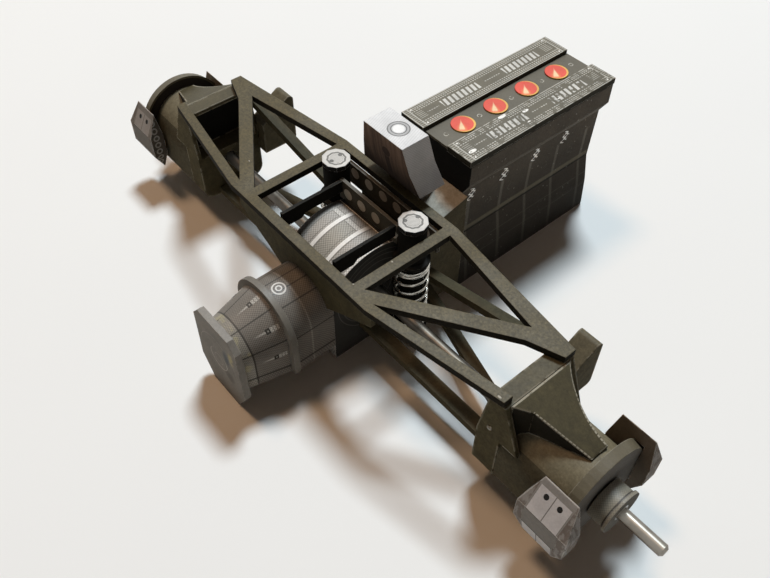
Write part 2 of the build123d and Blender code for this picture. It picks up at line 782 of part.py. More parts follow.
    with BuildPart() as hub_nose:
        with BuildSketch(Plane.YZ.offset(s * NOSE_X)):
            with Locations((0, AXLE_Z)):
                Circle(NOSE_R)
        extrude(amount=s * (NOSE_END - NOSE_X))
        with BuildSketch(Plane.YZ.offset(s * (NOSE_END - LIP_T))):
            with Locations((0, AXLE_Z)):
                Circle(LIP_R)
        extrude(amount=s * LIP_T)
        with BuildSketch(Plane.YZ.offset(s * NOSE_X)):
            with Locations((0, AXLE_Z)):
                Circle(JOURNAL_R)
        extrude(amount=s * (NOSE_END - NOSE_X), mode=Mode.SUBTRACT)
    keep(hub_nose, f"hub_nose_{side}")

    pin_l = PIN_L_LEFT if s < 0 else PIN_L_RIGHT
    with BuildPart() as stub_axle:
        with BuildSketch(Plane.YZ.offset(s * JOURNAL_X)):
            with Locations((0, AXLE_Z)):
                Circle(JOURNAL_R)
        extrude(amount=s * (NOSE_END - JOURNAL_X))
        with BuildSketch(Plane.YZ.offset(s * NOSE_END)):
            with Locations((0, AXLE_Z)):
                Circle(PIN_R)
        extrude(amount=s * pin_l)
        ends = stub_axle.edges().filter_by(GeomType.CIRCLE).sort_by(Axis.X)
        chamfer(ends[-1] if s > 0 else ends[0], length=PIN_BREAK)
    keep(stub_axle, f"stub_axle_{side}")
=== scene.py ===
import math

import bpy
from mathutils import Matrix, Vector


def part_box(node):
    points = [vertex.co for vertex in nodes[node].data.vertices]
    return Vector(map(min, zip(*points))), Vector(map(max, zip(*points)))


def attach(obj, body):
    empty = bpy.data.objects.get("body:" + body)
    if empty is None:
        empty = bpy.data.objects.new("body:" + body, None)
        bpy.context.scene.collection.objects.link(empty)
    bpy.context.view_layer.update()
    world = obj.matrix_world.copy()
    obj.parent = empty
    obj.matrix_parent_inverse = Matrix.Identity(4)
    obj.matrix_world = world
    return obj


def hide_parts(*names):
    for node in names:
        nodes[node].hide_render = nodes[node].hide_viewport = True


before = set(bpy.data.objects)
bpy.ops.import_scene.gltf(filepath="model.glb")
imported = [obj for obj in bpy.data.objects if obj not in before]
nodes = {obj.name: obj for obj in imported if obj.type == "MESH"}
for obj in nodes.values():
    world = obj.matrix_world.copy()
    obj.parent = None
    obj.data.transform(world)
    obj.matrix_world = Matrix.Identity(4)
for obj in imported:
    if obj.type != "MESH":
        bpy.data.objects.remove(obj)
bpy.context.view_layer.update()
MM = 0.001
SIDES = ((-1, "left"), (1, "right"))


# ---------------------------------------------------------------- shader tools
def linear(code):
    """Turn an sRGB hex value into the linear colour that a socket takes."""
    parts = [int(code[i : i + 2], 16) / 255 for i in (1, 3, 5)]
    return [p / 12.92 if p <= 0.04045 else ((p + 0.055) / 1.055) ** 2.4 for p in parts] + [1.0]


def add(tree, kind, *inputs, sockets=None, **settings):
    """Add one node: inputs and sockets are values or links, settings its properties."""
    node = tree.nodes.new("ShaderNode" + kind)
    for name, value in settings.items():
        setattr(node, name, value)
    wanted = list(enumerate(inputs)) + list((sockets or {}).items())
    for key, value in wanted:
        if value is None:
            continue
        if isinstance(value, bpy.types.Node):
            value = value.outputs[0]
        if isinstance(value, bpy.types.NodeSocket):
            tree.links.new(value, node.inputs[key])
        else:
            socket = node.inputs[key]
            socket.default_value = value[:3] if socket.type == "VECTOR" else value
    return node


def begin(name):
    """Start a material and return it with its tree and the place on the piece in mm."""
    material = bpy.data.materials.new(name)
    material.use_nodes = True
    tree = material.node_tree
    tree.nodes.clear()
    seen = add(tree, "TexCoord")
    place = add(tree, "VectorMath", seen.outputs["Object"], sockets={3: 1 / MM}, operation="SCALE")
    return material, tree, place


# A change that eases in and out, for a MapRange node.
SMOOTH = {"interpolation_type": "SMOOTHSTEP"}


def both(tree, first, *others):
    """The part that any number of masks share."""
    for other in others:
        first = add(tree, "Math", first, other, operation="MULTIPLY")
    return first


def either(tree, first, *others):
    """The part that any of the masks covers."""
    for other in others:
        first = add(tree, "Math", first, other, operation="MAXIMUM")
    return first


def layer(tree, under, cover, *masks):
    """Lay a colour over another on the part that all the masks share."""
    share = both(tree, *masks)
    return add(tree, "Mix", data_type="RGBA", sockets={0: share, 6: under, 7: cover}).outputs[2]


def printed(tree, colour, *passes):
    """Print colours one over another: each pass is an sRGB code and the masks that it needs."""
    for code, *masks in passes:
        colour = layer(tree, colour, linear(code), *masks)
    return colour


def between(tree, value, *limits):
    """1 where the value lies between the low and high end of any band."""
    marks = [add(tree, "Math", value, (a + b) / 2, (b - a) / 2, operation="COMPARE") for a, b in limits]
    return either(tree, *marks)


def rule(tree, value, centres, width):
    """Ruled lines of one width at each centre."""
    return between(tree, value, *[(c - width / 2, c + width / 2) for c in centres])


def dashed(tree, value, pitch, share):
    """1 on a share of each pitch along the value."""
    step = add(tree, "Math", value, pitch, operation="DIVIDE")
    part = add(tree, "Math", step, operation="FRACT")
    return add(tree, "Math", part, share, operation="LESS_THAN")


def circle_line(tree, sheet, centre, radius, width):
    """A printed ring on a flat sheet."""
    far = add(tree, "VectorMath", sheet, (centre[0], centre[1], 0), operation="DISTANCE")
    return between(tree, far.outputs["Value"], (radius - width / 2, radius + width / 2))


def dot(tree, sheet, centre, radius):
    """A printed dot on a flat sheet."""
    far = add(tree, "VectorMath", sheet, (centre[0], centre[1], 0), operation="DISTANCE")
    return add(tree, "Math", far.outputs["Value"], radius, operation="LESS_THAN")


def facing(tree, direction, least=0.6):
    """1 on faces that look along the direction."""
    shape = add(tree, "NewGeometry")
    turn = add(tree, "VectorMath", shape.outputs["Normal"], direction, operation="DOT_PRODUCT")
    return add(tree, "Math", turn.outputs["Value"], least, operation="GREATER_THAN")


def weave(tree, first, second, pitch, amount):
    """Coarse printed weave on two coordinates, as a grey factor about 1."""
    sheet = add(tree, "CombineXYZ", first, second)
    wave = add(tree, "VectorMath", sheet, sockets={3: 2 * math.pi / pitch}, operation="SCALE")
    parts = add(tree, "SeparateXYZ", add(tree, "VectorMath", wave, operation="COSINE"))
    knots = both(tree, parts.outputs[0], parts.outputs[1])
    return add(tree, "Math", knots, amount, 1.0, operation="MULTIPLY_ADD")


def blotches(tree, place, scale, limits, ends=(0.0, 1.0), detail=2.0, roughness=0.5, blend="SMOOTHSTEP"):
    """Noise at so many blotches a millimetre, its limits turned to the two ends."""
    cloud = add(tree, "TexNoise", place, sockets={"Scale": scale, "Detail": detail, "Roughness": roughness})
    return add(tree, "MapRange", cloud, *limits, *ends, interpolation_type=blend)


def mottled(tree, place, scale, limits, ends, detail=2.0, roughness=0.5):
    """Toner that varies evenly between two tones."""
    return blotches(tree, place, scale, limits, ends, detail, roughness, blend="LINEAR")


def soft_rule(tree, value, centres, width):
    """Printed lines that fade to both sides."""
    lines = []
    for centre in centres:
        apart = add(tree, "Math", value, centre, operation="SUBTRACT")
        off = add(tree, "Math", apart, operation="ABSOLUTE")
        near, far = width * 0.2, width * 0.7
        lines.append(add(tree, "MapRange", off, near, far, 1.0, 0.0, **SMOOTH))
    return either(tree, *lines)


# A face counts as an edge where its eased normal turns away from the true one: cosine of about 14 degrees.
EDGE_TURN = 0.97


def worn_edge(tree, place, radius, patch, cover):
    """Mask of the sharp edges, broken into patches; also gives the eased normal."""
    eased = add(tree, "Bevel", radius * MM, samples=4)
    shape = add(tree, "NewGeometry")
    turn = add(tree, "VectorMath", eased, shape.outputs["Normal"], operation="DOT_PRODUCT")
    edge = add(tree, "Math", turn.outputs["Value"], EDGE_TURN, operation="LESS_THAN")
    return both(tree, edge, blotches(tree, place, 1 / patch, (cover, cover + 0.08), detail=3.0)), eased


# Matt roughness and share of the shine on faces that don't look up, and the normal's z from which
# a face starts to look up and does so fully.
MATT, DULL_SHARE = 0.88, 0.4
LIE = (0.3, 0.95)


def card_finish(
    tree, place, colour, edge_code, rough=0.5, shine=0.4, grain=0.10, tone=None,
    wear=0.5, fold=0.13, cover=0.45, warp=0.0,
):
    """Printed card: ink drift, paper grain, a tone factor (print, and on the engine block painted shade),
    eased and rubbed edges, then the shader.

    Faces that look up were pressed flat and keep their gloss; upright and cut faces are matt.
    """
    drift = mottled(tree, place, 0.35, (0.3, 0.7), (0.88, 1.12))
    fleck = add(tree, "TexNoise", place, sockets={"Scale": 4.2, "Detail": 3.0, "Roughness": 0.7})
    speck = add(tree, "MapRange", fleck, 0.3, 0.7, 1 - grain, 1 + grain)
    shade = both(tree, drift, speck) if tone is None else both(tree, drift, speck, tone)
    grey = add(tree, "CombineXYZ", shade, shade, shade)
    inked = add(tree, "VectorMath", colour, grey, operation="MULTIPLY")
    rub, eased = worn_edge(tree, place, fold, 1.4, cover)
    final = layer(tree, inked, linear(edge_code), rub, wear)
    lie = add(tree, "SeparateXYZ", add(tree, "NewGeometry").outputs["Normal"]).outputs[2]
    pressed = add(tree, "MapRange", lie, *LIE, MATT, rough, **SMOOTH)
    sheen = add(tree, "MapRange", lie, *LIE, DULL_SHARE * shine, shine, **SMOOTH)
    gloss = add(tree, "Math", add(tree, "MapRange", fleck, 0.3, 0.7, 0.05, -0.05), pressed, operation="ADD")
    fibre = add(tree, "TexNoise", place, sockets={"Scale": 6.0, "Detail": 4.0, "Roughness": 0.65})
    bump = add(
        tree, "Bump", sockets={"Strength": 0.45, "Distance": 0.03 * MM, "Height": fibre, "Normal": eased}
    )
    if warp:
        wave = add(tree, "TexNoise", place, sockets={"Scale": 0.13, "Detail": 1.0, "Roughness": 0.5})
        bump = add(
            tree, "Bump", sockets={"Strength": 1.0, "Distance": warp * MM, "Height": wave, "Normal": bump}
        )
    shader = add(
        tree,
        "BsdfPrincipled",
        sockets={
            "Base Color": final, "Roughness": gloss, "IOR": 1.5, "Specular IOR Level": sheen, "Normal": bump
        },
    )
    add(tree, "OutputMaterial", shader)


def dress(material, *names):
    """Give CAD nodes or new pieces a material."""
    for name in names:
        piece = nodes[name] if name in nodes else bpy.data.objects[name]
        piece.data.materials.clear()
        piece.data.materials.append(material)


def dress_sides(material, *stems):
    """Dress the left and the right node of each stem."""
    for stem in stems:
        for s, side in SIDES:
            dress(material, f"{stem}_{side}")


OLIVE = {"fin": "#403a27", "duct": "#554e3b", "upright": "#4a432f"}
OLIVE_FOLD = "#a49d8b"
PALE_LINE = "#c9c6bc"
# Height of the axle line, in mm.
AXLE_Z = 8.0
# The fin's slanted edges seen from above, in mm: the rear one is straight, the front one a shallow bow.
REAR_SLOPE, REAR_FROM, REAR_LINE = -0.3186, 28.6, (-11.54, -11.36)
BOW_MIDDLE, BOW_SLOPE, BOW_DEPTH, BOW_LINE = 30.725, 0.3217, -0.0704, (1.70, 1.90)

# ---------------------------------------------------------------- plain olive card
# Laser-printed dark olive card with a slight sheen: mottled toner, the sides painted near black as painted
# shade, few rubbed spots.
material, tree, place = begin("olive_card_frame")
top = facing(tree, (0, 0, 1))
mottle = mottled(tree, place, 2.6, (0.32, 0.68), (0.66, 1.36), detail=4.0, roughness=0.75)
# Painted shade: faces that don't look up are painted near black.
colour = layer(tree, linear("#19150d"), linear("#4e452d"), top)
card_finish(
    tree, place, colour, "#8d8878", rough=0.5, shine=0.24, grain=0.3, tone=mottle, wear=0.35, cover=0.5,
    warp=0.6,
)
dress(material, "top_frame")

# The same card folded into boxes: soft blotches, the toner cracked pale along the folds, and painted shade:
# the insides, which face the middle of the car, painted near black, and the fin's rear face painted dark.
for s, side in SIDES:
    for stem in ("fin", "duct", "upright"):
        material, tree, place = begin(f"olive_card_folded_{stem}_{side}")
        mottle = mottled(tree, place, 1.3, (0.3, 0.7), (0.76, 1.26), detail=4.0, roughness=0.65)
        colour = linear(OLIVE[stem])
        out = add(tree, "Math", add(tree, "SeparateXYZ", place).outputs[0], float(s), operation="MULTIPLY")
        if stem == "upright":
            edges = [corner[0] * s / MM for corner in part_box(f"upright_{side}")]
            deep = add(tree, "MapRange", out, min(edges) + 0.9, min(edges) + 1.8, **SMOOTH)
            # Painted shade: the hollow inside the upright is painted near black.
            painted_hollow_shade = both(tree, deep, facing(tree, (-s, 0, 0), 0.3))
            colour = layer(tree, colour, linear("#12100b"), painted_hollow_shade)
        if stem == "fin":
            # Painted shade: the fin's rear face is painted nearly black.
            colour = layer(tree, colour, linear("#1c180f"), facing(tree, (0, -1, 0), 0.5))
            edges = [corner[0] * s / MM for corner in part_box(f"fin_{side}")]
            cracked = both(
                tree,
                between(tree, out, (min(edges), min(edges) + 0.16)),
                blotches(tree, place, 1.1, (0.36, 0.44), detail=3.0),
            )
            colour = layer(tree, colour, linear(OLIVE_FOLD), cracked, 0.8)
            along = add(tree, "SeparateXYZ", place).outputs[1]
            rear_rim = add(tree, "Math", out, REAR_SLOPE, along, operation="MULTIPLY_ADD")
            rear_rim = both(
                tree,
                between(tree, rear_rim, REAR_LINE),
                add(tree, "Math", out, REAR_FROM, operation="GREATER_THAN"),
            )
            past = add(tree, "Math", out, BOW_MIDDLE, operation="SUBTRACT")
            bow = add(tree, "Math", both(tree, past, past), BOW_DEPTH, along, operation="MULTIPLY_ADD")
            front_rim = add(tree, "Math", past, BOW_SLOPE, bow, operation="MULTIPLY_ADD")
            front_rim = between(tree, front_rim, BOW_LINE)
            patches = blotches(tree, place, 0.9, (0.34, 0.42), detail=3.0)
            pricked = both(
                tree,
                either(tree, rear_rim, front_rim),
                dashed(tree, out, 0.36, 0.66),
                patches,
                facing(tree, (0, 0, 1), 0.3),
            )
            colour = layer(tree, colour, linear(OLIVE_FOLD), pricked, 0.85)
        card_finish(
            tree, place, colour, OLIVE_FOLD, rough=0.58, shine=0.26, grain=0.18, tone=mottle, wear=0.9,
            fold=0.3, cover=0.4,
        )
        dress(material, f"{stem}_{side}")

# Box behind the engine: a paler brown-grey sheet on top, its sides painted dark as painted shade.
material, tree, place = begin("olive_card_pale_sheet")
mottle = mottled(tree, place, 1.6, (0.3, 0.7), (0.85, 1.18), detail=4.0, roughness=0.65)
colour = layer(tree, linear("#4c4534"), linear("#9c9689"), facing(tree, (0, 0, 1), 0.55))
card_finish(tree, place, colour, "#b3ad9e", rough=0.6, shine=0.3, grain=0.14, tone=mottle, wear=0.5)
dress(material, "bell_housing")

# Axle housings: olive card rolled round the shaft, its upper side painted lighter as painted light.
material, tree, place = begin("olive_card_rolled")
mottle = mottled(tree, place, 1.6, (0.3, 0.7), (0.8, 1.22), detail=4.0, roughness=0.65)
colour = layer(tree, linear("#4a4434"), linear("#6d6550"), facing(tree, (0, 0, 1), 0.55))
card_finish(tree, place, colour, "#98917f", rough=0.6, shine=0.3, grain=0.2, tone=mottle, wear=0.5)
dress_sides(material, "axle_housing")

# Links, arms and web: the same olive print, matt, with hardly a rubbed fold.
material, tree, place = begin("olive_card_inner")
mottle = mottled(tree, place, 1.3, (0.3, 0.7), (0.78, 1.24), detail=4.0, roughness=0.65)
card_finish(
    tree, place, linear("#453e2b"), "#7d7769", rough=0.75, shine=0.3, grain=0.16, tone=mottle, wear=0.35
)
dress(material, "web_plate")
dress_sides(material, "upper_link", "lower_wishbone")

# ---------------------------------------------------------------- brake discs
# Printed card disc: olive rim and border, the inward face painted near black as painted shade, and one faint
# turned circle.
for s, side in SIDES:
    material, tree, place = begin(f"disc_printed_card_{side}")
    parts = add(tree, "SeparateXYZ", place)
    face = add(tree, "CombineXYZ", parts.outputs[1], parts.outputs[2])
    reach = add(tree, "VectorMath", face, (0, AXLE_Z, 0), operation="DISTANCE").outputs["Value"]
    flat_face = either(tree, facing(tree, (1, 0, 0), 0.8), facing(tree, (-1, 0, 0), 0.8))
    inner = both(tree, flat_face, add(tree, "MapRange", reach, 5.35, 5.45, 1.0, 0.0, **SMOOTH))
    outward = facing(tree, (s, 0, 0), 0.8)
    # Painted shade: the flat face that looks inward is painted near black.
    dark = layer(tree, linear("#1f1912"), linear("#605c56"), outward)
    colour = layer(tree, linear("#5a5342"), dark, inner)
    colour = layer(
        tree, colour, linear("#6d6960"), circle_line(tree, face, (0, AXLE_Z), 4.3, 0.1), outward, 0.5
    )
    card_finish(tree, place, colour, "#9c9685", rough=0.5, wear=0.6)
    dress(material, f"disc_{side}")

# ---------------------------------------------------------------- black card
# Solid black toner on card, nearly matt, with brown-grey cut edges.
material, tree, place = begin("black_toner_card")
card_finish(tree, place, linear("#12100c"), "#6b665b", rough=0.75, shine=0.2, wear=0.6)
dress_sides(material, "strap", "damper")

# Cross walls: black toner card with a row of grey-brown printed discs on both faces; card and discs are
# painted lighter, the front wall's discs most, as painted light on walls that stand in shade.
for name, centres, level, tint in (
    ("wall_rear", (-5.0, -3.35, -1.05, 1.3, 4.1), 14.9, "#c2b9aa"),
    ("wall_front", (-5.7, -3.3, -0.9, 1.4, 3.7, 6.0), 14.7, "#d6d3cc"),
):
    material, tree, place = begin(f"black_card_with_grey_discs_{name}")
    parts = add(tree, "SeparateXYZ", place)
    face = add(tree, "CombineXYZ", parts.outputs[0], parts.outputs[2])
    discs = either(tree, *[dot(tree, face, (x, level), 0.68) for x in centres])
    colour = layer(tree, linear("#4b463b"), linear(tint), discs)
    card_finish(tree, place, colour, "#9a968c", rough=0.5, wear=0.8, cover=0.36)
    dress(material, name)

# ---------------------------------------------------------------- cam covers
# Printed card lids: pale dotted borders, a broken centre line and plain slanted louvre marks.
COVER_X = 3.7
COVER_WEAR = {"left": ((0.2, 0.3), 2.0), "right": ((0.38, 0.5), 3.0)}
# Nicks in the right lid: across, along and radius, in a sheet squashed along by NICK_SQUASH.
NICK_SQUASH = 0.45
NICKS = ((4.22, 13.36, 0.24), (2.11, 19.9, 0.25), (3.05, 22.64, 0.2), (4.6, 21.6, 0.09), (3.9, 27.2, 0.08))
for s, side in SIDES:
    material, tree, place = begin(f"cam_cover_print_{side}")
    parts = add(tree, "SeparateXYZ", place)
    off = add(tree, "Math", parts.outputs[0], s * COVER_X, operation="SUBTRACT")
    away = add(tree, "Math", off, operation="ABSOLUTE")
    along = parts.outputs[1]
    inside = between(tree, along, (12.6, 34.5))
    dots = dashed(tree, along, 0.36, 0.62)
    dotted = both(tree, rule(tree, away, (0.95, 1.24), 0.13), inside, dots)
    solid = both(tree, rule(tree, away, (1.46,), 0.10), inside)
    rim_line = both(tree, rule(tree, away, (1.72,), 0.10), inside)
    ends = both(tree, rule(tree, along, (12.02, 12.62, 34.5, 35.08), 0.12), between(tree, away, (-1, 1.76)))
    end_band = both(tree, between(tree, along, (12.02, 12.62), (34.5, 35.08)), dashed(tree, off, 0.3, 0.5))
    middle = both(
        tree, between(tree, off, (-0.06, 0.06)), between(tree, along, (14.2, 15.9), (23.0, 25.5)), dots
    )
    slant = add(tree, "Math", off, 0.18, along, operation="MULTIPLY_ADD")
    bars = both(
        tree,
        between(tree, off, (-0.58, 0.58)),
        between(tree, along, (16.4, 22.0), (26.1, 31.7)),
        dashed(tree, slant, 0.7, 0.6),
    )
    limits, detail = COVER_WEAR[side]
    print_wear = blotches(tree, place, 1.3, limits, detail=detail)
    pale = either(tree, dotted, both(tree, solid, 0.75), rim_line, ends, middle)
    colour = printed(
        tree,
        linear("#5d5644" if side == "left" else "#554e3c"),
        ("#a9a598", end_band, 0.6),
        (PALE_LINE, pale, print_wear, 0.8),
        ("#d6d4cd", bars, print_wear, 0.85),
    )
    sheet = add(tree, "CombineXYZ", parts.outputs[0], along)
    corners = either(
        tree, *[dot(tree, sheet, (s * COVER_X + dx, y), 0.11) for dx in (-1.42, 1.42) for y in (12.95, 34.2)]
    )
    combs = both(
        tree,
        rule(tree, off, (-0.62, -0.36, -0.1, 0.16, 0.42), 0.09),
        between(tree, along, (12.9, 13.9), (32.8, 34.1)),
    )
    colour = printed(tree, colour, (PALE_LINE, combs, print_wear, 0.5), ("#efece4", corners))
    if side == "right":
        turned = add(tree, "VectorMath", sheet, (1.0, NICK_SQUASH, 1.0), operation="MULTIPLY")
        nicks = either(tree, *[dot(tree, turned, (x, y * NICK_SQUASH), r) for x, y, r in NICKS])
        torn = both(tree, nicks, blotches(tree, place, 4.0, (0.3, 0.4)))
        colour = layer(tree, colour, linear("#f1efe9"), torn)
    # Painted shade: the lid's sides are painted near black.
    top = facing(tree, (0, 0, 1))
    colour = layer(tree, linear("#262218"), colour, top)
    card_finish(tree, place, colour, "#b3afa2", rough=0.46, wear=0.55, cover=0.4)
    dress(material, f"cam_cover_{side}")

# ---------------------------------------------------------------- plug strip and plug discs
# Strip between the covers: olive print with a small pale ring between each pair of plugs.
material, tree, place = begin("plug_strip_print")
parts = add(tree, "SeparateXYZ", place)
sheet = add(tree, "CombineXYZ", parts.outputs[0], parts.outputs[1])
marks = either(
    tree, *[circle_line(tree, sheet, (0, y), 0.25, 0.1) for y in (13.56, 18.62, 23.65, 28.7, 33.8)]
)
marks = both(tree, marks, blotches(tree, place, 3.0, (0.38, 0.5)))
colour = layer(tree, linear("#564f3f"), linear("#bdb9ac"), marks, 0.8)
card_finish(tree, place, colour, "#8d897c", rough=0.46, wear=0.4)
dress(material, "plug_strip")

# Orange-red printed discs with a thin yellow rim to one side and a pale leaning flame.
material, tree, place = begin("orange_plug_print")
parts = add(tree, "SeparateXYZ", place)
first, pitch = 16.1, 5.05
row = add(tree, "Math", parts.outputs[1], first - pitch / 2, operation="SUBTRACT")
row = add(tree, "Math", row, pitch, operation="FLOORED_MODULO")
local = add(tree, "Math", row, pitch / 2, operation="SUBTRACT")
sheet = add(tree, "CombineXYZ", parts.outputs[0], local)
far = add(tree, "VectorMath", sheet, (-0.10, -0.10, 0), operation="DISTANCE").outputs["Value"]
rim = add(tree, "Math", far, 1.30, operation="GREATER_THAN")
rise = add(tree, "VectorMath", sheet, (-0.80, 0.60, 0), operation="DOT_PRODUCT").outputs["Value"]
across = add(tree, "VectorMath", sheet, (0.60, 0.80, 0), operation="DOT_PRODUCT").outputs["Value"]
sway = add(tree, "Math", add(tree, "Math", across, 0.22, operation="ADD"), operation="ABSOLUTE")
flame_edge = add(tree, "MapRange", rise, -0.9, 0.85, 0.34, 0.0, **SMOOTH)
body = add(tree, "Math", flame_edge, sway, operation="SUBTRACT")
flame = both(
    tree,
    add(tree, "MapRange", body, -0.06, 0.14, **SMOOTH),
    add(tree, "MapRange", rise, -1.2, -0.8, **SMOOTH),
    add(tree, "MapRange", rise, 0.7, 0.85, 1.0, 0.0, **SMOOTH),
)
glow = both(
    tree,
    add(tree, "MapRange", body, -0.35, 0.0, **SMOOTH),
    add(tree, "MapRange", rise, -1.1, 0.4, 0.7, 0.0, **SMOOTH),
)
colour = printed(tree, linear("#e0523d"), ("#ec8a4e", glow), ("#e9c25e", rim, 0.85), ("#f6dcae", flame, 0.9))
card_finish(tree, place, colour, "#e8a06a", rough=0.5, grain=0.05, wear=0.0)
dress(material, "plug_discs")

# ---------------------------------------------------------------- engine block
# Folded olive card: pale ruled bays, a small pale curl high on each bay and a fold along the waist; painted
# shade darkens the flanks towards the bottom, a line under the waist, the top edge of the flanks and the rear
# face.
material, tree, place = begin("engine_block_print")
parts = add(tree, "SeparateXYZ", place)
along, up = parts.outputs[1], parts.outputs[2]
side_on = either(tree, facing(tree, (1, 0, 0), 0.5), facing(tree, (-1, 0, 0), 0.5))
sheet = add(tree, "CombineXYZ", along, up)
BAY_LINES = (13.6, 19.0, 23.65, 28.4, 33.6)
CURLS = (13.75, 19.0, 24.25, 29.3)
bays = both(
    tree, soft_rule(tree, along, BAY_LINES, 0.5), add(tree, "MapRange", up, 12.6, 13.4, 1.0, 0.0, **SMOOTH)
)
hems = either(tree, soft_rule(tree, up, (15.12,), 0.2), soft_rule(tree, up, (5.4, 3.7), 0.14))
waist = soft_rule(tree, up, (8.5,), 0.7)
# Painted shade: a dark line under the waist and along the top edge of the flanks.
crease_shade = either(tree, soft_rule(tree, up, (7.95,), 0.3), add(tree, "MapRange", up, 19.05, 19.15, **SMOOTH))
curls, whiskers = [], []
for y in CURLS:
    du = add(tree, "Math", along, y, operation="SUBTRACT")
    dv = add(tree, "Math", up, 13.8, operation="SUBTRACT")
    lean = add(tree, "Math", dv, -0.28, du, operation="MULTIPLY_ADD")
    loops = add(tree, "Math", add(tree, "Math", dv, 8.4, operation="MULTIPLY"), operation="SINE")
    for sway, shift, tall in ((0.30, -0.06, 0.86), (-0.26, 0.24, 0.6)):
        path = add(tree, "Math", loops, sway, lean, operation="MULTIPLY_ADD")
        curls.append(
            both(tree, between(tree, path, (shift - 0.14, shift + 0.14)), between(tree, dv, (-tall, tall)))
        )
    whiskers.append(circle_line(tree, sheet, (y, 13.8), 0.74, 0.07))
whiskers = both(tree, either(tree, *whiskers), blotches(tree, place, 3.5, (0.5, 0.6)))
faint = either(tree, *[circle_line(tree, sheet, (y, 11.0), 0.45, 0.09) for y in (16.9, 20.6, 26.4, 31.0)])
faint = both(tree, faint, blotches(tree, place, 2.0, (0.45, 0.6)))
specks = blotches(tree, place, 2.6, (0.735, 0.76), detail=1.0)
# Painted shade and light: the flanks darker towards the bottom and lighter towards the top.
painted_shade_fall = both(
    tree,
    add(tree, "MapRange", up, 0.0, 8.0, 0.35, 0.75, **SMOOTH),
    add(tree, "MapRange", up, 8.2, 15.0, 1.0, 1.85, **SMOOTH),
)
colour = printed(
    tree,
    linear("#48423a"),
    ("#7d786d", bays, side_on, 0.5),
    ("#6a665b", hems, side_on, 0.5),
    ("#77715f", waist, side_on, 0.75),
    ("#1a1712", crease_shade, side_on, 0.85),
    ("#77746b", faint, side_on, 0.5),
    ("#a9a59b", either(tree, whiskers, specks), side_on, 0.5),
    ("#f0eee8", either(tree, *curls), side_on, 0.9),
    # Painted shade: the rear face near black.
    ("#0d0b08", facing(tree, (0, -1, 0), 0.8)),
)
card_finish(tree, place, colour, "#8b877b", rough=0.5, shine=0.3, grain=0.14, tone=painted_shade_fall, wear=0.5, fold=0.16)
dress(material, "engine_block")

# ---------------------------------------------------------------- flared box behind the head
# Halftone card: white top with a grey double ring, brown streaked rear face, grey lined flanks painted
# lighter towards the top as painted light.
material, tree, place = begin("flared_box_print")
parts = add(tree, "SeparateXYZ", place)
across, along, up = parts.outputs[0], parts.outputs[1], parts.outputs[2]
top_sheet = add(tree, "CombineXYZ", across, along)
rear_sheet = add(tree, "CombineXYZ", across, up)
on_top = facing(tree, (0, 0, 1), 0.8)
on_rear = facing(tree, (0, -1, 0), 0.6)
# Painted light: the box is painted lighter towards the top.
colour = layer(tree, linear("#868381"), linear("#b9b7b5"), add(tree, "MapRange", up, 15.5, 23.5, **SMOOTH))
knit = add(
    tree, "Mix", sockets={0: either(tree, on_top, on_rear), 2: weave(tree, along, up, 0.3, 0.16), 3: 1.0}
)
hatch = add(tree, "Math", along, 0.35, across, operation="MULTIPLY_ADD")
hatch = add(tree, "Math", hatch, 23.0, operation="MULTIPLY")
hatch = add(tree, "Math", hatch, operation="SINE")
lid = layer(
    tree, linear("#dddddc"), linear("#c6c7c8"), add(tree, "MapRange", hatch, -0.4, 1.0, 0.0, 0.5, **SMOOTH)
)
RING = (0.26, 6.4)
lid = layer(tree, lid, linear("#a9a9a8"), circle_line(tree, top_sheet, RING, 0.95, 0.34), 0.85)
rings = either(
    tree, circle_line(tree, top_sheet, RING, 1.14, 0.13), circle_line(tree, top_sheet, RING, 0.79, 0.13)
)
lid = printed(tree, lid, ("#5f5e5c", rings, 0.9), ("#f4f4f2", dot(tree, top_sheet, RING, 0.6)))
streak = add(
    tree, "TexNoise",
    add(tree, "VectorMath", place, (2.6, 1.0, 0.12), operation="MULTIPLY"),
    sockets={"Scale": 1.0, "Detail": 3.0, "Roughness": 0.5},
)
fade = add(tree, "MapRange", up, 17.0, 24.4, **SMOOTH)
back = layer(
    tree, linear("#1a120d"), linear("#7b6454"), fade, add(tree, "MapRange", streak, 0.3, 0.7, 0.35, 1.0)
)
key = either(
    tree,
    dot(tree, rear_sheet, (0.18, 22.0), 0.6),
    both(tree, between(tree, across, (-0.18, 0.56)), between(tree, up, (19.0, 22.0))),
)
back = printed(
    tree, back,
    ("#1d1410", key, 0.75),
    ("#5d4c40", circle_line(tree, rear_sheet, (0.18, 22.0), 0.66, 0.1), 0.5),
)
colour = layer(tree, colour, back, on_rear)
colour = layer(tree, colour, lid, on_top)
card_finish(tree, place, colour, "#dcdad4", rough=0.5, grain=0.05, tone=knit, wear=0.5)
dress(material, "rear_box")

# ---------------------------------------------------------------- final drive casing
# Grey woven print on the crown with two white bands and a cross bar, dark printed end faces, painted shade
# towards the left end and on the crown towards the front wall, and a pale rim edge.
CROWN_R = 6.1
material, tree, place = begin("casing_halftone_print")
parts = add(tree, "SeparateXYZ", place)
across, along, up = parts.outputs[0], parts.outputs[1], parts.outputs[2]
height = add(tree, "Math", up, AXLE_Z, operation="SUBTRACT")
arc = add(tree, "Math", add(tree, "Math", along, height, operation="ARCTAN2"), CROWN_R, operation="MULTIPLY")
knit = weave(tree, across, arc, 0.36, 0.4)
bands = between(tree, across, (-1.80, -1.32), (0.96, 1.44))
shadows = between(tree, across, (-1.32, -1.12), (1.44, 1.62))
outlines = rule(tree, across, (0.62, -2.05, -3.2, 3.2), 0.1)
bar = both(tree, between(tree, along, (0.3, 0.85)), between(tree, across, (-1.12, 0.96), (-3.2, -1.8)))
